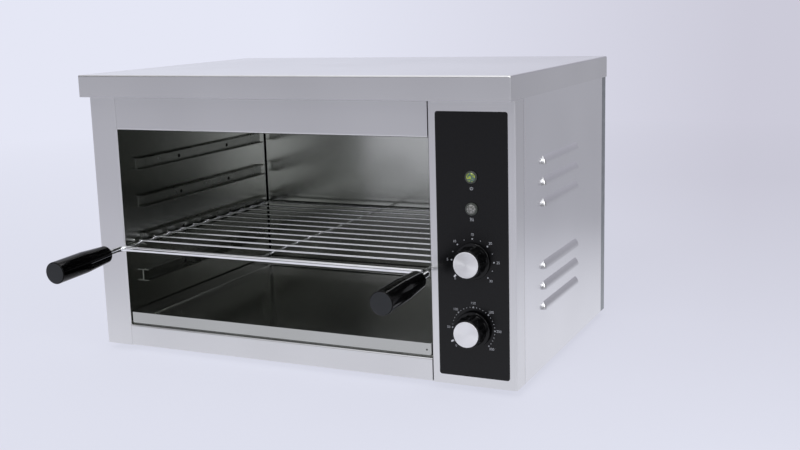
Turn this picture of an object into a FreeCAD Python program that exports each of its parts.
import FreeCAD
import Part

import math
import os

# Counter-top cheese melter. Sizes are in millimetres, from the casing's lower left front corner:
# x runs to the right, y to the back and z up. The finished pieces are moved so that the origin is
# the middle of the whole object, on the surface that its feet stand on.

# Clearances
seam = 0.4
seat_gap = 0.3
running_gap = 0.05
overrun = 5.0

# Casing
body_width = 600.0
body_depth = 396.0
body_height = 342.0
sheet = 1.2
fold_radius = 1.0
left_column_width = 41.6
control_column_width = 108.0
column_return = 20.0
side_return = 28.5
rear_return = 20.0

# Top cover
cover_height = 29.1
cover_front_overhang = 18.7
cover_side_overhang = 1.5
cover_rear_overhang = 0.6
cover_flange = 14.0

# Front panels
fascia_height = 44.5
fascia_return = 15.0
lower_panel_height = 29.2
lower_panel_return = 20.0

# Base plate and feet
base_flange = 14.0
foot_height = 9.0
foot_radius = 16.0
foot_waist = 13.0
foot_inset_x = 60.0
foot_inset_y = 45.0
foot_screw_radius = 2.5
foot_head_radius = 4.6
foot_head_height = 3.0
foot_recess = 5.5
foot_washer_bore = 2.8
foot_nut_flats = 8.0
foot_nut_height = 4.0
foot_screw_end = 2.0
foot_edge = 0.8

# Cavity liner
liner_front = 4.0
back_space = 22.0
liner_top_gap = 4.0
liner_corner_gap = 2.2
floor_setback = 8.0
ceiling_gap = 12.0
blanket_height = 25.0

# Louvres in the right side panel
louvre_length = 150.0
louvre_height = 10.0
louvre_depth = 4.5
louvre_front = 96.0
louvre_pitch = 26.0
louvre_rows = 3
upper_louvre_drop = 85.5
lower_louvre_height = 126.3
louvre_bulge_share = 0.73
louvre_shoulder_share = 0.55

# Back panel slots behind the electrical space
slot_length = 56.0
slot_height = 4.0
slot_pitch = 11.0
slot_rows = 6
slot_drop = 60.0
slot_side_gap = 24.0

# Rack rails
rail_count = 4
lowest_rail = 82.9
top_rail_drop = 91.7
rail_height = 16.0
rail_depth = 9.4
rail_sheet = 1.0
rail_front = 36.0
rail_rear_gap = 17.0
rivet_front = 99.4
rivet_spacing = 125.0
rivet_drop = 0.8
rivets_per_rail = 2
rivet_radius = 1.6
rivet_head_radius = 2.8
rivet_head_height = 0.9
rivet_tail = 1.5

# Wire rack
rack_rail_number = 2
front_bar_radius = 3.8
front_bar_reach = 11.0
front_bar_rise = 0.35
bar_side_overlap = 2.9
bar_bend_radius = 10.0
frame_rod_radius = 2.5
frame_rod_inset = 5.5
cross_wire_radius = 1.5
first_wire = 27.0
wire_pitch = 31.87
rear_wire_gap = 10.0
wire_overhang = 1.0
middle_rod_share = 0.4823

# Grips
grip_length = 100.0
grip_neck_reach = 44.0
grip_radius = 14.2
grip_neck_radius = 11.5
grip_taper = 45.0
grip_edge = 1.5
grip_neck_edge = 3.5
neck_edge_share = 0.9
grip_bore_depth = 55.0
arm_droop = 1.9

# Crumb tray
tray_side_gap = 1.6
tray_front = 0.8
tray_rear_gap = 4.0
tray_height = 16.5
tray_sheet = 1.0
tray_fold_radius = 2.2
tray_hem = 6.0
tray_hole_radius = 1.2
tray_hole_inset = 6.0

# Control overlay
overlay_sheet = 0.5
overlay_left_margin = 9.6
overlay_right_margin = 9.2
overlay_bottom_margin = 11.5
overlay_top_margin = 13.0
overlay_corner = 3.0

# Lamps
heat_lamp_rise = 62.1
lamp_pitch = 37.4
bezel_radius = 7.5
bezel_height = 2.6
bezel_edge = 0.8
lens_radius = 5.6
lens_recess = 1.8
lens_crown = 0.9
lens_shoulder_share = 0.55
lens_rounding = 10.0
lamp_barrel_radius = 5.0
lamp_barrel_length = 26.0
lamp_hole_gap = 0.2

# Dials and knobs
thermostat_height = 71.0
dial_pitch = 82.7
timer_knob_gap = 0.6
thermostat_knob_gap = 3.2
skirt_radius = 22.0
skirt_height = 3.0
skirt_edge = 0.8
knob_height = 22.0
knob_base_radius = 18.6
knob_front_radius = 17.4
flute_count = 10
flute_radius = 5.0
flute_depth = 1.5
cap_radius = 15.5
cap_recess = 1.0
cap_height = 1.6
cap_edge = 0.5
pointer_width = 2.0
pointer_reach = 3.6
pointer_root = 1.4
timer_pointer_angle = 225.0
thermostat_pointer_angle = 207.0

# Shafts and the switch bodies behind the column
shaft_radius = 3.0
shaft_flat = 0.6
shaft_front_depth = 6.0
shaft_bearing = 12.0
shaft_hole_gap = 2.0
timer_width = 42.0
timer_height = 42.0
timer_depth = 30.0
thermostat_width = 50.0
thermostat_tall = 40.0
thermostat_depth = 32.0
switch_edge = 2.0
tab_width = 6.3
tab_sheet = 0.8
tab_length = 8.0
tab_spread = 16.0
fixing_spread = 28.0
fixing_radius = 1.5
fixing_head_radius = 2.8
fixing_length = 7.0

# Heating elements
element_radius = 4.0
element_drop = 12.0
element_count = 2
first_leg = 70.0
leg_spacing = 58.0
element_spacing = 146.0
element_left_gap = 38.0
element_tail = 24.0
element_pin_radius = 1.5
element_pin_length = 10.0
lock_nut_flats = 14.0
lock_nut_height = 4.0
hanger_gap = 4.0
hanger_lip = 32.0
hanger_side = 14.0

# Thermostat bulb, its clips and the capillary tube
bulb_radius = 3.0
bulb_length = 100.0
bulb_rear_gap = 44.0
bulb_drop = 52.0
clip_sheet = 0.8
clip_width = 8.0
clip_foot = 12.0
clip_inset = 18.0
capillary_radius = 0.9
capillary_bend = 8.0
capillary_lead = 30.0
capillary_wall_gap = 20.0
capillary_level = 112.0
capillary_entry_x = 11.0
capillary_entry_y = 24.0
capillary_hole_gap = 2.0

# Terminal block, leads and loom
pole_count = 5
pole_pitch = 8.0
first_pole_gap = 36.0
block_front = 296.0
block_depth = 24.0
block_height = 18.0
block_end = 5.0
pole_hole_radius = 2.2
pole_hole_depth = 7.0
lead_radius = 1.5
lead_bend = 5.0
loom_radius = 3.0
loom_bend = 12.0
loom_top_share = 0.72

# Earth stud
stud_radius = 2.5
stud_length = 16.0
stud_nut_flats = 8.0
stud_nut_height = 4.0
stud_side_gap = 20.0
stud_rear_gap = 46.0

# Cable gland
gland_height = 32.0
gland_side_gap = 48.0
gland_bore_radius = 4.5
gland_thread_radius = 8.0
gland_thread_length = 10.0
gland_flange_flats = 22.0
gland_flange_height = 6.0
gland_dome_radius = 10.0
gland_dome_height = 12.0
gland_dome_nose = 7.0
gland_nut_height = 4.0
gland_edge = 0.8

# Casing screws in the back panel
screw_radius = 1.9
screw_head_radius = 3.8
screw_head_height = 2.2
screw_length = 9.0
screw_height = 7.5
screw_inset = 60.0
screw_count = 3
screw_slot_width = 0.9
screw_slot_depth = 1.0

# Places that follow from the sizes above
opening_left = left_column_width
opening_right = body_width - control_column_width
liner_left = opening_left - sheet
liner_right = opening_right + sheet
cavity_depth = body_depth - back_space
ceiling_height = body_height - ceiling_gap
liner_top = body_height - liner_top_gap
rail_pitch = (ceiling_height - top_rail_drop - lowest_rail) / (rail_count - 1)
side_end = body_depth - rear_return - seam
floor_top = lower_panel_height + sheet
fascia_bottom = body_height - fascia_height
outer_fold = fold_radius + sheet
column_middle = opening_right + control_column_width / 2
overlay_front = -overlay_sheet
timer_center = thermostat_height + dial_pitch
heat_lamp_height = timer_center + heat_lamp_rise
power_lamp_height = heat_lamp_height + lamp_pitch
rack_floor = lowest_rail + (rack_rail_number - 1) * rail_pitch + rail_sheet
rack_height = rack_floor + seat_gap + frame_rod_radius
front_bar_height = rack_height + front_bar_rise
wire_height = rack_height + frame_rod_radius + cross_wire_radius
middle_rod_height = wire_height - 2 * cross_wire_radius
front_bar_back = front_bar_radius - front_bar_reach
rack_left = liner_left + frame_rod_inset
rack_right = liner_right - frame_rod_inset
rack_rear = cavity_depth - seat_gap
arm_left = opening_left + bar_side_overlap
arm_right = opening_right + bar_side_overlap
element_height = ceiling_height - element_drop
element_left = liner_left + element_left_gap
element_end = liner_right + element_tail
pole_height = sheet + block_height / 2
first_pole = liner_right + first_pole_gap
switch_front = sheet
gland_x = body_width - gland_side_gap
grip_end = grip_neck_reach + grip_length

left_reach = -cover_side_overhang
right_reach = body_width + max(cover_side_overhang, louvre_depth)
droop = math.radians(arm_droop)
grip_run = grip_end - front_bar_reach - grip_edge
arm_run = grip_run * math.cos(droop) + (grip_radius - grip_edge) * math.sin(droop)
front_reach = -(front_bar_reach + arm_run + grip_edge)
rear_reach = body_depth + gland_flange_height + gland_dome_height
origin_shift = FreeCAD.Vector(-(left_reach + right_reach) / 2, -(front_reach + rear_reach) / 2, foot_height)

X = FreeCAD.Vector(1, 0, 0)
Y = FreeCAD.Vector(0, 1, 0)
Z = FreeCAD.Vector(0, 0, 1)
PLANES = {"x": (Y, Z, X), "y": (X, Z, Y), "z": (X, Y, Z)}
CLOSE = 1e-6


def point(x, y, z):
    return FreeCAD.Vector(x, y, z)


def box(x0, x1, y0, y1, z0, z1):
    return Part.makeBox(x1 - x0, y1 - y0, z1 - z0, point(x0, y0, z0))


def rod(start, end, radius):
    return Part.makeCylinder(radius, (end - start).Length, start, end - start)


def hole(center, axis, radius, reach=overrun):
    """Round cutter through a point, as far both ways along an axis."""
    return rod(center - axis * reach, center + axis * reach, radius)


def rounded_edges(corners, radii, closed):
    """Straight edges through the corners, with an arc of each corner's radius where it isn't zero."""
    count = len(corners)
    starts = []
    ends = []
    arcs = []
    for i, corner in enumerate(corners):
        inner = closed or 0 < i < count - 1
        if not inner or radii[i] <= 0:
            starts.append(corner)
            ends.append(corner)
            arcs.append(None)
            continue
        back = (corners[i - 1] - corner).normalize()
        ahead = (corners[(i + 1) % count] - corner).normalize()
        half = back.getAngle(ahead) / 2
        run = radii[i] / math.tan(half)
        middle = (back + ahead).normalize()
        center = corner + middle * (radii[i] / math.sin(half))
        starts.append(corner + back * run)
        ends.append(corner + ahead * run)
        arcs.append(Part.Arc(starts[i], center - middle * radii[i], ends[i]).toShape())
    edges = []
    for i in range(count):
        if arcs[i] is not None:
            edges.append(arcs[i])
        following = (i + 1) % count
        if following == 0 and not closed:
            continue
        if (starts[following] - ends[i]).Length > CLOSE:
            edges.append(Part.LineSegment(ends[i], starts[following]).toShape())
    return edges


def rounded_face(corners, radii):
    return Part.Face(Part.Wire(rounded_edges(corners, radii, True)))


def prism(outline, radii, axis, start, length):
    """Solid with the flat outline square to an axis, given in the plane's own two coordinates."""
    first, second, along = PLANES[axis]
    corners = [first * a + second * b + along * start for a, b in outline]
    return rounded_face(corners, radii).extrude(along * length)


def cross(a, b):
    return a[0] * b[1] - a[1] * b[0]


def direction(a, b):
    length = math.hypot(b[0] - a[0], b[1] - a[1])
    return (b[0] - a[0]) / length, (b[1] - a[1]) / length


def folded(path, side, axis, start, length, thickness=sheet, inner_radius=fold_radius):
    """Folded sheet: the path is one face of it, and the thickness lies to its left (1) or right (-1)."""
    ways = [direction(a, b) for a, b in zip(path, path[1:])]
    offset = []
    path_radii = []
    offset_radii = []
    for i, (a, b) in enumerate(path):
        before = ways[max(i - 1, 0)]
        after = ways[min(i, len(ways) - 1)]
        normal = (-(before[1] + after[1]) * side, (before[0] + after[0]) * side)
        square = math.hypot(*normal)
        reach = thickness * 2 / (square * square)
        offset.append((a + normal[0] * reach, b + normal[1] * reach))
        turn = cross(before, after) * side
        if abs(turn) < CLOSE:
            path_radii.append(0)
            offset_radii.append(0)
        elif turn > 0:
            path_radii.append(inner_radius + thickness)
            offset_radii.append(inner_radius)
        else:
            path_radii.append(inner_radius)
            offset_radii.append(inner_radius + thickness)
    outline = path + offset[::-1]
    return prism(outline, path_radii + offset_radii[::-1], axis, start, length)


def rounded_box(x0, x1, y0, y1, z0, z1, radius, flat):
    """Box with rounded edges, but for the four around its flat side at that height."""
    solid = box(x0, x1, y0, y1, z0, z1)
    edges = [e for e in solid.Edges if not all(abs(v.Z - flat) < CLOSE for v in e.Vertexes)]
    return solid.makeFillet(radius, edges)


def turned(outline, radii, center, axis):
    """Solid turned about an axis through a point, from (radius, distance along the axis) corners."""
    out = Z if axis is not Z else X
    corners = [center + out * r + axis * a for r, a in outline]
    return rounded_face(corners, radii).revolve(center, axis, 360)


def headed(radius, tail, face, head_radius, head_height, center, axis):
    """Shank from its tail to a face, with a rounded head on the face."""
    top = face + head_height
    outline = [(0, tail), (radius, tail), (radius, face), (head_radius, face), (head_radius, top), (0, top)]
    return turned(outline, [0, 0, 0, 0, head_height / 2, 0], center, axis)


def tube(corners, bend_radius, radius):
    """Round rod or tube along straight runs joined by tangent bends."""
    radii = [0] + [bend_radius] * (len(corners) - 2) + [0]
    path = Part.Wire(rounded_edges(corners, radii, False))
    ring = Part.Wire(Part.makeCircle(radius, corners[0], corners[1] - corners[0]))
    return path.makePipeShell([ring], True, True)


def hexagon(center, axis, flats, height, bore):
    """Hexagonal nut with its first face at the center, bored along the axis."""
    first, second = [d for d in (X, Y, Z) if abs(d.dot(axis)) < CLOSE]
    corner = flats / math.sqrt(3)
    points = []
    for i in range(6):
        angle = math.radians(60 * i)
        points.append(center + first * (corner * math.cos(angle)) + second * (corner * math.sin(angle)))
    blank = rounded_face(points, [0] * len(points)).extrude(axis * height)
    return blank.cut(hole(center, axis, bore, height + overrun))


def group(solids):
    return Part.makeCompound(solids)


def joined(solids):
    return solids[0].fuse(solids[1:]).removeSplitter()


# Casing

def top_cover():
    x0, x1 = -cover_side_overhang, body_width + cover_side_overhang
    y0, y1 = -cover_front_overhang, body_depth + cover_rear_overhang
    z0, z1 = body_height, body_height + cover_height
    skin = rounded_box(x0, x1, y0, y1, z0, z1, outer_fold, z0)
    low, high = z0 + sheet, z1 - sheet
    inside = rounded_box(x0 + sheet, x1 - sheet, y0 + sheet, y1 - sheet, low, high, fold_radius, low)
    x0, x1 = cover_flange, body_width - cover_flange
    y0, y1 = cover_flange, body_depth - cover_flange
    window = box(x0, x1, y0, y1, z0 - overrun, low + overrun)
    return skin.cut(inside).cut(window)


def left_side_panel():
    path = [(opening_left, column_return), (opening_left, 0), (0, 0), (0, side_end)]
    return folded(path, -1, "z", 0, body_height)


def louvre_blank(depth, height, front, rear, bottom):
    """Pressed bulge on the side panel: rounded ends, flat and open at the bottom."""
    def profile(y):
        foot = point(body_width, y, bottom)
        lip = point(body_width + depth, y, bottom)
        shoulder_x = body_width + depth * louvre_bulge_share
        shoulder = point(shoulder_x, y, bottom + height * louvre_shoulder_share)
        top = point(body_width, y, bottom + height)
        edges = [
            Part.LineSegment(foot, lip).toShape(),
            Part.Arc(lip, shoulder, top).toShape(),
            Part.LineSegment(top, foot).toShape(),
        ]
        return Part.Face(Part.Wire(edges))

    near, far = front + depth, rear - depth
    middle = profile(near).extrude(Y * (far - near))
    front_end = profile(near).revolve(point(body_width, near, bottom), Z, -90)
    rear_end = profile(far).revolve(point(body_width, far, bottom), Z, 90)
    return joined([middle, front_end, rear_end])


def right_side_panel():
    panel = box(body_width - sheet, body_width, side_return + seam, side_end, 0, body_height)
    front, rear = louvre_front, louvre_front + louvre_length
    inset = louvre_depth + sheet
    hoods = []
    for top_row in (body_height - upper_louvre_drop, lower_louvre_height):
        for row in range(louvre_rows):
            bottom = top_row - row * louvre_pitch
            depth, height = louvre_depth - sheet, louvre_height - sheet
            outer = louvre_blank(louvre_depth, louvre_height, front, rear, bottom)
            inner = louvre_blank(depth, height, front + sheet, rear - sheet, bottom)
            hoods.append(outer.cut(inner))
            top = bottom + louvre_height - louvre_depth
            window = box(body_width - overrun, body_width, front + inset, rear - inset, bottom, top)
            panel = panel.cut(window)
    return joined([panel] + hoods)


def control_column():
    path = [(opening_right, column_return), (opening_right, 0), (body_width, 0), (body_width, side_return)]
    column = folded(path, 1, "z", 0, body_height)
    for height in (power_lamp_height, heat_lamp_height):
        column = column.cut(front_hole(height, lamp_barrel_radius + lamp_hole_gap))
    for height in (timer_center, thermostat_height):
        column = column.cut(front_hole(height, shaft_radius + shaft_hole_gap))
        for side in (-1, 1):
            place = column_middle + side * fixing_spread / 2
            column = column.cut(fixing_blank(place, height, running_gap))
    return column


def front_hole(height, radius):
    return hole(point(column_middle, 0, height), Y, radius)


def back_panel():
    start = body_depth - rear_return
    path = [(0, start), (0, body_depth), (body_width, body_depth), (body_width, start)]
    panel = folded(path, -1, "z", 0, body_height)
    gland = point(gland_x, body_depth, gland_height)
    panel = panel.cut(hole(gland, Y, gland_thread_radius + running_gap))
    for row in range(slot_rows):
        high = body_height - slot_drop - row * slot_pitch
        right = body_width - slot_side_gap
        panel = panel.cut(slot(right - slot_length, right, high))
    for place in screw_places():
        panel = panel.cut(hole(place, Y, screw_radius + running_gap, screw_length))
    return panel


def slot(left, right, high):
    radius = slot_height / 2
    outline = [(left, high - radius), (right, high - radius), (right, high + radius), (left, high + radius)]
    return prism(outline, [radius] * len(outline), "y", body_depth - overrun, overrun * 2)


def screw_places():
    span = body_width - screw_inset * 2
    step = span / (screw_count - 1)
    return [point(screw_inset + i * step, body_depth, screw_height) for i in range(screw_count)]


def casing_screws():
    screws = []
    for place in screw_places():
        screw = headed(screw_radius, -screw_length, 0, screw_head_radius, screw_head_height, place, Y)
        bottom = body_depth + screw_head_height - screw_slot_depth
        top = bottom + overrun
        half = screw_slot_width / 2
        for wide, tall in ((screw_head_radius, half), (half, screw_head_radius)):
            x, z = place.x, place.z
            screw = screw.cut(box(x - wide, x + wide, bottom, top, z - tall, z + tall))
        screws.append(screw)
    return group(screws)


def base_plate():
    low, high = -overrun, base_flange + overrun
    wall = sheet * 2
    outer = box(sheet, body_width - sheet, sheet, body_depth - sheet, 0, base_flange)
    plate = outer.cut(box(wall, body_width - wall, low, body_depth - wall, sheet, high))
    left, right = liner_left - outer_fold, liner_right + outer_fold
    notches = [box(left, right, low, lower_panel_return + seam, low, high)]
    notch = sheet + outer_fold
    for x0, x1 in ((0, notch), (body_width - notch, body_width)):
        for y0, y1 in ((0, notch), (body_depth - notch, body_depth)):
            notches.append(box(x0, x1, y0, y1, low, high))
    plate = plate.cut(group(notches))
    for place in foot_places():
        plate = plate.cut(hole(place, Z, foot_screw_radius + running_gap))
    for place in screw_places():
        plate = plate.cut(hole(place, Y, screw_radius + running_gap, screw_length))
    return plate.cut(hole(stud_place(), Z, stud_radius + running_gap))


def foot_places():
    places = []
    for x in (foot_inset_x, body_width - foot_inset_x):
        for y in (foot_inset_y, body_depth - foot_inset_y):
            places.append(point(x, y, 0))
    return places


def feet():
    solids = []
    for place in foot_places():
        outline = [(0, 0), (foot_radius, 0), (foot_waist, -foot_height), (0, -foot_height)]
        foot = turned(outline, [0, 0, foot_edge, 0], place, Z)
        foot = foot.cut(hole(place, Z, foot_washer_bore, foot_height + overrun))
        bottom = place - Z * foot_height
        solids.append(foot.cut(hole(bottom, Z, foot_head_radius + seat_gap, foot_recess)))
    return group(solids)


def foot_fasteners():
    solids = []
    for place in foot_places():
        head_top = place - Z * (foot_height - foot_recess)
        top = place + Z * (sheet + foot_nut_height + foot_screw_end)
        head = rod(head_top - Z * foot_head_height, head_top, foot_head_radius)
        solids.append(joined([head, rod(head_top, top, foot_screw_radius)]))
        bore = foot_screw_radius + running_gap
        solids.append(hexagon(place + Z * sheet, Z, foot_nut_flats, foot_nut_height, bore))
    return group(solids)


def across(path):
    """Folded sheet from one side of the opening to the other."""
    return folded(path, -1, "x", opening_left + seam, opening_right - opening_left - seam * 2)


def upper_fascia():
    low, high = fascia_bottom, body_height
    return across([(fascia_return, low), (0, low), (0, high), (fascia_return, high)])


def lower_front_panel():
    edge = lower_panel_return
    return across([(edge, 0), (0, 0), (0, lower_panel_height), (edge, lower_panel_height)])


# Cavity liner

def cavity_left_wall():
    wall = box(liner_left - sheet, liner_left, liner_front, cavity_depth, sheet, liner_top)
    return wall.cut(group(rivet_holes(liner_left)))


def cavity_right_wall():
    wall = box(liner_right, liner_right + sheet, liner_front, cavity_depth, sheet, liner_top)
    wall = wall.cut(group(rivet_holes(liner_right)))
    for y in leg_places():
        wall = wall.cut(hole(point(liner_right, y, element_height), X, element_radius + running_gap))
    entry = capillary_route()[1]
    return wall.cut(hole(entry, X, capillary_radius + capillary_hole_gap, capillary_wall_gap))


def cavity_back_wall():
    rear = cavity_depth + sheet
    left, right = liner_left + liner_corner_gap, liner_right - liner_corner_gap
    return box(left, right, cavity_depth, rear, sheet, liner_top)


def cavity_floor():
    return box(opening_left, opening_right, floor_setback, cavity_depth, lower_panel_height, floor_top)


def cavity_ceiling():
    front = fascia_return - sheet
    top = ceiling_height + sheet
    return across([(front, fascia_bottom + sheet), (front, top), (cavity_depth, top)])


def insulation_blanket():
    left, right = opening_left + seam, opening_right - seam
    front, rear = fascia_return + seam, cavity_depth - seam
    bottom = ceiling_height + sheet
    return box(left, right, front, rear, bottom, bottom + blanket_height)


# Rails

def rail_bottoms():
    return [lowest_rail + i * rail_pitch for i in range(rail_count)]


def rivet_places(bottom):
    first = rail_front + rivet_front
    level = bottom + rail_height / 2 - rivet_drop
    return [(first + i * rivet_spacing, level) for i in range(rivets_per_rail)]


def rivet_holes(plane):
    holes = []
    for bottom in rail_bottoms():
        for y, z in rivet_places(bottom):
            holes.append(hole(point(plane, y, z), X, rivet_radius + running_gap))
    return holes


def rail(plane, way, bottom):
    """Channel with its back on the wall at the plane, open towards the middle of the cavity."""
    tip = plane + way * rail_depth
    path = [(tip, bottom), (plane, bottom), (plane, bottom + rail_height), (tip, bottom + rail_height)]
    length = cavity_depth - rail_front - rail_rear_gap
    channel = folded(path, -way, "y", rail_front, length, rail_sheet, fold_radius / 2)
    return channel.cut(group(rivet_holes(plane)))


def rail_rivets():
    rivets = []
    for plane, way in ((liner_left, 1), (liner_right, -1)):
        for bottom in rail_bottoms():
            for y, z in rivet_places(bottom):
                start = point(plane, y, z)
                rivet = headed(rivet_radius, -sheet - rivet_tail, rail_sheet, rivet_head_radius,
                               rivet_head_height, start, X * way)
                pit = start + X * (way * (rail_sheet + rivet_head_height))
                rivets.append(rivet.cut(hole(pit, X, rivet_radius / 2, rivet_head_height / 2)))
    return group(rivets)


# Wire rack

def droop_point(x, reach):
    """Point on an arm, at a distance from the front bar along its drooping line."""
    return point(x, -front_bar_reach - reach * math.cos(droop), front_bar_height - reach * math.sin(droop))


def rack_front_bar():
    reach = grip_neck_reach - front_bar_reach + grip_bore_depth
    places = ((arm_left, reach), (arm_left, 0), (arm_right, 0), (arm_right, reach))
    return tube([droop_point(x, along) for x, along in places], bar_bend_radius, front_bar_radius)


def grip(x):
    neck = grip_neck_reach - front_bar_reach
    shoulder = neck + grip_taper
    end = neck + grip_length
    outline = [(0, neck), (grip_neck_radius, neck), (grip_neck_radius, neck + grip_neck_edge),
               (grip_radius, shoulder), (grip_radius, end), (0, end)]
    radii = [0, grip_neck_edge * neck_edge_share, grip_edge, grip_taper, grip_edge, 0]
    base = point(x, -front_bar_reach, front_bar_height)
    handle = turned(outline, radii, base, Y * -1)
    handle = handle.cut(hole(base, Y, front_bar_radius + running_gap, neck + grip_bore_depth))
    handle.rotate(base, X, arm_droop)
    return handle


def rack_frame_rods():
    rear = rack_rear - frame_rod_radius
    left, right = rack_left + frame_rod_radius, rack_right - frame_rod_radius
    middle = rack_left + (rack_right - rack_left) * middle_rod_share
    middle_ends = [point(middle, y, middle_rod_height) for y in (front_bar_back, rear - frame_rod_radius)]
    ends = [
        (point(rack_left, front_bar_back, rack_height), point(rack_left, rack_rear, rack_height)),
        (point(rack_right, front_bar_back, rack_height), point(rack_right, rack_rear, rack_height)),
        (point(left, rear, rack_height), point(right, rear, rack_height)),
    ]
    rods = [rod(start, end, frame_rod_radius) for start, end in ends]
    return group(rods + [rod(*middle_ends, cross_wire_radius)])


def rack_cross_wires():
    wires = []
    y = first_wire
    while y < rack_rear - rear_wire_gap:
        left = point(rack_left - wire_overhang, y, wire_height)
        right = point(rack_right + wire_overhang, y, wire_height)
        wires.append(rod(left, right, cross_wire_radius))
        y += wire_pitch
    return group(wires)


# Crumb tray

def crumb_tray():
    x0, x1 = opening_left + tray_side_gap, opening_right - tray_side_gap
    y0, y1 = tray_front, cavity_depth - tray_rear_gap
    z0 = floor_top + seat_gap
    z1 = z0 + tray_height
    wall = tray_sheet
    outer = rounded_box(x0, x1, y0, y1, z0, z1, tray_fold_radius + wall, z1)
    top = z1 + overrun
    inner = rounded_box(x0 + wall, x1 - wall, y0 + wall, y1 - wall, z0 + wall, top, tray_fold_radius, top)
    hem = wall * 2
    band = box(x0 + wall, x1 - wall, y0 + wall, y1 - wall, z1 - tray_hem, z1)
    band = band.cut(box(x0 + hem, x1 - hem, y0 + hem, y1 - hem, z1 - tray_hem - overrun, top))
    tray = joined([outer.cut(inner), band.common(outer)])
    place = point(x1 - tray_hole_inset, y0 - overrun, (z0 + z1) / 2)
    return tray.cut(rod(place, place + Y * (overrun + hem + wall), tray_hole_radius))


# Control overlay, lamps and knobs

def control_overlay():
    left, right = opening_right + overlay_left_margin, body_width - overlay_right_margin
    low, high = overlay_bottom_margin, body_height - overlay_top_margin
    outline = [(left, low), (right, low), (right, high), (left, high)]
    plate = prism(outline, [overlay_corner] * 4, "y", overlay_front, overlay_sheet)
    for height in (power_lamp_height, heat_lamp_height):
        plate = plate.cut(front_hole(height, lamp_barrel_radius + lamp_hole_gap))
    for height in (timer_center, thermostat_height):
        plate = plate.cut(front_hole(height, shaft_radius + shaft_hole_gap))
    return plate


def lamp_holder(height):
    """Bezel in front of the overlay, barrel through the column, and two tabs behind."""
    front = overlay_front - bezel_height
    seat = front + lens_recess
    end = lamp_barrel_length
    outline = [(0, seat), (lens_radius, seat), (lens_radius, front), (bezel_radius, front),
               (bezel_radius, overlay_front), (lamp_barrel_radius, overlay_front),
               (lamp_barrel_radius, end), (0, end)]
    radii = [0, 0, 0, bezel_edge, 0, 0, 0, 0]
    holder = turned(outline, radii, point(column_middle, 0, height), Y)
    tabs = []
    for side in (-1, 1):
        tabs.append(tab(height + side * lamp_barrel_radius / 2, end))
    return joined([holder] + tabs)


def tab(z, start):
    """Push-on terminal standing out behind a lamp or switch."""
    half = tab_width / 2
    return box(column_middle - half, column_middle + half, start, start + tab_length, z, z + tab_sheet)


def lamp_lens(height):
    """Disc seated in the bezel, its front slightly crowned."""
    rim = overlay_front - bezel_height
    back = rim + lens_recess
    top = rim - lens_crown
    radius = lens_radius - running_gap
    shoulder = radius * lens_shoulder_share
    outline = [(0, back), (radius, back), (radius, rim), (shoulder, top), (0, top)]
    return turned(outline, [0, 0, 0, lens_rounding, 0], point(column_middle, 0, height), Y)


def dial_point(height, radius, angle, y):
    turn = math.radians(angle)
    return point(column_middle + radius * math.cos(turn), y, height + radius * math.sin(turn))


def knob(height, angle, back):
    """Skirted knob with a fluted grip, a recess for its cap, a shaft bore and a slot for its pointer."""
    ledge = back - skirt_height
    front = back - knob_height
    seat = front + cap_recess
    rim = cap_radius + running_gap
    outline = [(0, back), (skirt_radius, back), (skirt_radius, ledge), (knob_base_radius, ledge),
               (knob_front_radius, front), (rim, front), (rim, seat), (0, seat)]
    radii = [0, 0, skirt_edge, skirt_edge, skirt_edge, 0, 0, 0]
    center = point(column_middle, 0, height)
    body = turned(outline, radii, center, Y)
    flutes = []
    reach = knob_base_radius + flute_radius - flute_depth
    for i in range(flute_count):
        turn = angle + (i + 0.5) * 360 / flute_count
        start = dial_point(height, reach, turn, ledge)
        flutes.append(rod(start, dial_point(height, reach, turn, front - overrun), flute_radius))
    body = body.cut(group(flutes))
    body = body.cut(shaft_blank(height, angle, back, running_gap))
    return body.cut(pointer_blank(height, angle, back, running_gap))


def shaft_blank(height, angle, back, gap):
    """Shaft with a flat on the pointer's side where the knob holds it."""
    front = back - knob_height + shaft_front_depth
    end = switch_front + shaft_bearing
    center = point(column_middle, front, height)
    shaft = rod(center, point(column_middle, end, height), shaft_radius + gap)
    near = column_middle + shaft_radius - shaft_flat + gap
    wide = shaft_radius * 2
    key = box(near, near + wide, front - overrun, back, height - wide, height + wide)
    key.rotate(center, Y, -angle)
    return shaft.cut(key)


def pointer_blank(height, angle, back, gap):
    """White pointer: a rib down the side of the grip, from its front to the skirt."""
    ledge = back - skirt_height
    front = back - knob_height
    half = pointer_width / 2 + gap
    inner = column_middle + knob_front_radius - pointer_root - gap
    outer = column_middle + knob_front_radius + pointer_reach
    rib = box(inner, outer, front - gap, ledge, height - half, height + half)
    rib.rotate(point(column_middle, front, height), Y, -angle)
    return rib


def knob_cap(height, back):
    seat = back - knob_height + cap_recess
    outline = [(0, seat), (cap_radius, seat), (cap_radius, seat - cap_height), (0, seat - cap_height)]
    return turned(outline, [0, 0, cap_edge, 0], point(column_middle, 0, height), Y)


def shaft_bore(height):
    start = point(column_middle, switch_front - overrun, height)
    end = point(column_middle, switch_front + shaft_bearing + seat_gap, height)
    return rod(start, end, shaft_radius + running_gap)


def switch_body(height, width, tall, depth):
    """Switch on the back of the column, with its shaft's bore, screw holes and tabs."""
    left, right = column_middle - width / 2, column_middle + width / 2
    low, high = height - tall / 2, height + tall / 2
    outline = [(left, low), (right, low), (right, high), (left, high)]
    body = prism(outline, [switch_edge] * 4, "y", switch_front, depth)
    tabs = [tab(height + side * tab_spread / 2, switch_front + depth) for side in (-1, 0, 1)]
    body = joined([body] + tabs).cut(shaft_bore(height))
    for side in (-1, 1):
        body = body.cut(fixing_blank(column_middle + side * fixing_spread / 2, height, running_gap))
    return body


def timer_body():
    return switch_body(timer_center, timer_width, timer_height, timer_depth)


def thermostat_body():
    return switch_body(thermostat_height, thermostat_width, thermostat_tall, thermostat_depth)


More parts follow.
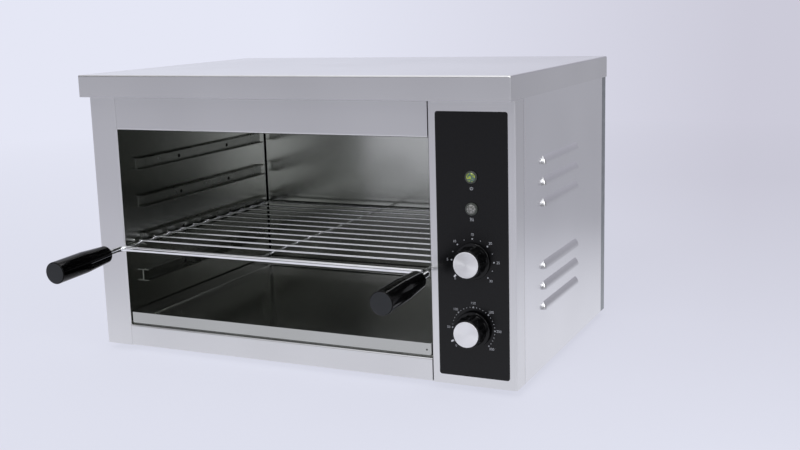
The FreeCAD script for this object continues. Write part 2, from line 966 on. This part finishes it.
def fixing_blank(x, z, gap):
    """Flat-head screw through the column's face, its head flush under the overlay."""
    end = sheet + fixing_length + gap
    shank = fixing_radius + gap
    outline = [(0, 0), (fixing_head_radius + gap, 0), (shank, sheet), (shank, end), (0, end)]
    return turned(outline, [0] * len(outline), point(x, 0, z), Y)


def control_fixing_screws():
    screws = []
    for height in (timer_center, thermostat_height):
        for side in (-1, 1):
            screws.append(fixing_blank(column_middle + side * fixing_spread / 2, height, 0))
    return group(screws)


# Heating elements

def leg_places():
    places = []
    for i in range(element_count):
        places.append(first_leg + i * element_spacing)
        places.append(first_leg + i * element_spacing + leg_spacing)
    return places


def heating_element(index):
    """Hairpin of tubular sheath, with a terminal pin at each end."""
    near = first_leg + index * element_spacing
    far = near + leg_spacing
    ends = ((element_end, near), (element_left, near), (element_left, far), (element_end, far))
    sheath = tube([point(x, y, element_height) for x, y in ends], leg_spacing / 2, element_radius)
    pins = []
    for y in (near, far):
        start = point(element_end, y, element_height)
        pins.append(rod(start, start + X * element_pin_length, element_pin_radius))
    return joined([sheath] + pins)


def element_lock_nuts():
    nuts = []
    for y in leg_places():
        inside = point(liner_right, y, element_height)
        outside = point(liner_right + sheet, y, element_height)
        bore = element_radius + running_gap
        nuts.append(hexagon(inside, X * -1, lock_nut_flats, lock_nut_height, bore))
        nuts.append(hexagon(outside, X, lock_nut_flats, lock_nut_height, bore))
    return group(nuts)


def element_hanger():
    """Folded strip under the ceiling whose lip carries the elements' bends."""
    web = element_left - element_radius - hanger_gap
    lip = element_height - element_radius
    path = [(web, ceiling_height), (web, lip), (web + hanger_lip, lip)]
    places = leg_places()
    start = places[0] - hanger_side
    return folded(path, -1, "y", start, places[-1] + hanger_side - start)


# Thermostat bulb and capillary

def bulb_ends():
    x = liner_right - clip_sheet - bulb_radius - running_gap
    z = body_height - bulb_drop
    rear = cavity_depth - bulb_rear_gap
    return point(x, rear - bulb_length, z), point(x, rear, z)


def thermostat_bulb():
    front, rear = bulb_ends()
    return rod(front, rear, bulb_radius)


def bulb_clips():
    front, rear = bulb_ends()
    clips = []
    for y in (front.y + clip_inset, rear.y - clip_inset - clip_width):
        start = point(front.x, y, front.z)
        ring = rod(start, start + Y * clip_width, bulb_radius + running_gap + clip_sheet)
        foot = box(liner_right - clip_sheet, liner_right, y, y + clip_width, front.z, front.z + clip_foot)
        bore = hole(start, Y, bulb_radius + running_gap, clip_width + overrun)
        clips.append(joined([ring, foot]).cut(bore))
    return group(clips)


def capillary_route():
    front = bulb_ends()[0]
    inside_y = front.y - capillary_lead
    x = liner_right + capillary_wall_gap
    entry_x = column_middle - capillary_entry_x
    entry_z = thermostat_height + thermostat_tall / 2
    return [
        front,
        point(front.x, inside_y, front.z),
        point(x, inside_y, front.z),
        point(x, inside_y, capillary_level),
        point(x, capillary_entry_y, capillary_level),
        point(entry_x, capillary_entry_y, capillary_level),
        point(entry_x, capillary_entry_y, entry_z),
    ]


def capillary_tube():
    return tube(capillary_route(), capillary_bend, capillary_radius)


# Terminal block, leads, loom and earth

def pole_x(index):
    return first_pole + index * pole_pitch


def terminal_block():
    left, right = pole_x(0) - block_end, pole_x(pole_count - 1) + block_end
    block = box(left, right, block_front, block_front + block_depth, sheet, sheet + block_height)
    top = sheet + block_height
    for i in range(pole_count):
        rear = point(pole_x(i), block_front + block_depth, pole_height)
        block = block.cut(hole(rear, Y, pole_hole_radius, pole_hole_depth))
        screw = point(pole_x(i), block_front + block_depth / 2, top)
        block = block.cut(hole(screw, Z, pole_hole_radius, block_height / 4))
    return block


def element_leads():
    leads = []
    start = element_end + element_pin_length
    for i, y in enumerate(leg_places()):
        x = pole_x(i)
        corners = [point(start, y, element_height), point(x, y, element_height),
                   point(x, y, pole_height), point(x, block_front, pole_height)]
        leads.append(tube(corners, min(lead_bend, x - start), lead_radius))
    return leads


def wiring_loom():
    x = pole_x(pole_count - 1)
    y = switch_front + thermostat_depth + seat_gap + loom_radius
    top = body_height * loom_top_share
    corners = [point(x, block_front, pole_height), point(x, y, pole_height), point(x, y, top)]
    return tube(corners, loom_bend, loom_radius)


def stud_place():
    return point(liner_right + stud_side_gap, body_depth - stud_rear_gap, 0)


def earth_stud():
    place = stud_place()
    solids = [rod(place, place + Z * stud_length, stud_radius)]
    for height in (sheet, sheet + stud_nut_height):
        bore = stud_radius + running_gap
        solids.append(hexagon(place + Z * height, Z, stud_nut_flats, stud_nut_height, bore))
    return group(solids)


# Cable gland

def cable_gland():
    face = point(gland_x, body_depth, gland_height)
    flange = hexagon(face, Y, gland_flange_flats, gland_flange_height, gland_bore_radius)
    bore = gland_bore_radius
    start = gland_flange_height
    end = start + gland_dome_height
    outline = [(bore, start), (gland_dome_radius, start), (gland_dome_nose, end), (bore, end)]
    dome = turned(outline, [0, 0, gland_edge, 0], face, Y)
    end = -gland_thread_length
    outline = [(bore, end), (gland_thread_radius, end), (gland_thread_radius, 0), (bore, 0)]
    thread = turned(outline, [0] * len(outline), face, Y)
    return joined([flange, dome, thread])


def cable_gland_nut():
    face = point(gland_x, body_depth - sheet, gland_height)
    return hexagon(face, Y * -1, gland_flange_flats, gland_nut_height, gland_thread_radius + running_gap)


def pieces():
    """Every sub-part by its name."""
    made = {
        "top_cover": top_cover(),
        "left_side_panel": left_side_panel(),
        "right_side_panel": right_side_panel(),
        "control_column": control_column(),
        "back_panel": back_panel(),
        "base_plate": base_plate(),
        "upper_fascia": upper_fascia(),
        "lower_front_panel": lower_front_panel(),
        "cavity_left_wall": cavity_left_wall(),
        "cavity_right_wall": cavity_right_wall(),
        "cavity_back_wall": cavity_back_wall(),
        "cavity_ceiling": cavity_ceiling(),
        "cavity_floor": cavity_floor(),
        "insulation_blanket": insulation_blanket(),
        "rail_rivets": rail_rivets(),
        "control_overlay": control_overlay(),
        "power_lamp_holder": lamp_holder(power_lamp_height),
        "power_lamp_lens": lamp_lens(power_lamp_height),
        "heat_lamp_holder": lamp_holder(heat_lamp_height),
        "heat_lamp_lens": lamp_lens(heat_lamp_height),
        "timer_body": timer_body(),
        "thermostat_body": thermostat_body(),
        "control_fixing_screws": control_fixing_screws(),
        "thermostat_bulb": thermostat_bulb(),
        "capillary_tube": capillary_tube(),
        "bulb_clips": bulb_clips(),
        "element_hanger": element_hanger(),
        "element_lock_nuts": element_lock_nuts(),
        "terminal_block": terminal_block(),
        "wiring": group([wiring_loom()] + element_leads()),
        "earth_stud": earth_stud(),
        "cable_gland": cable_gland(),
        "cable_gland_nut": cable_gland_nut(),
        "feet": feet(),
        "foot_fasteners": foot_fasteners(),
        "casing_screws": casing_screws(),
        "rack_front_bar": rack_front_bar(),
        "rack_frame_rods": rack_frame_rods(),
        "rack_cross_wires": rack_cross_wires(),
        "left_grip": grip(arm_left),
        "right_grip": grip(arm_right),
        "crumb_tray": crumb_tray(),
    }
    for i, bottom in enumerate(rail_bottoms()):
        made["left_rail_%d" % (i + 1)] = rail(liner_left, 1, bottom)
        made["right_rail_%d" % (i + 1)] = rail(liner_right, -1, bottom)
    for i, name in enumerate(("front", "rear")):
        made[name + "_heating_element"] = heating_element(i)
    for name, height, angle, gap in (
        ("timer", timer_center, timer_pointer_angle, timer_knob_gap),
        ("thermostat", thermostat_height, thermostat_pointer_angle, thermostat_knob_gap),
    ):
        back = overlay_front - gap
        made[name + "_knob"] = knob(height, angle, back)
        made[name + "_knob_cap"] = knob_cap(height, back)
        made[name + "_pointer"] = pointer_blank(height, angle, back, 0)
        made[name + "_shaft"] = shaft_blank(height, angle, back, 0)
    return made


def main():
    os.makedirs("parts", exist_ok=True)
    for name, shape in pieces().items():
        shape.translate(origin_shift)
        shape.exportStep("parts/" + name + ".step")
        print(name, len(shape.Solids), "valid" if shape.isValid() else "NOT VALID", round(shape.Volume))


main()
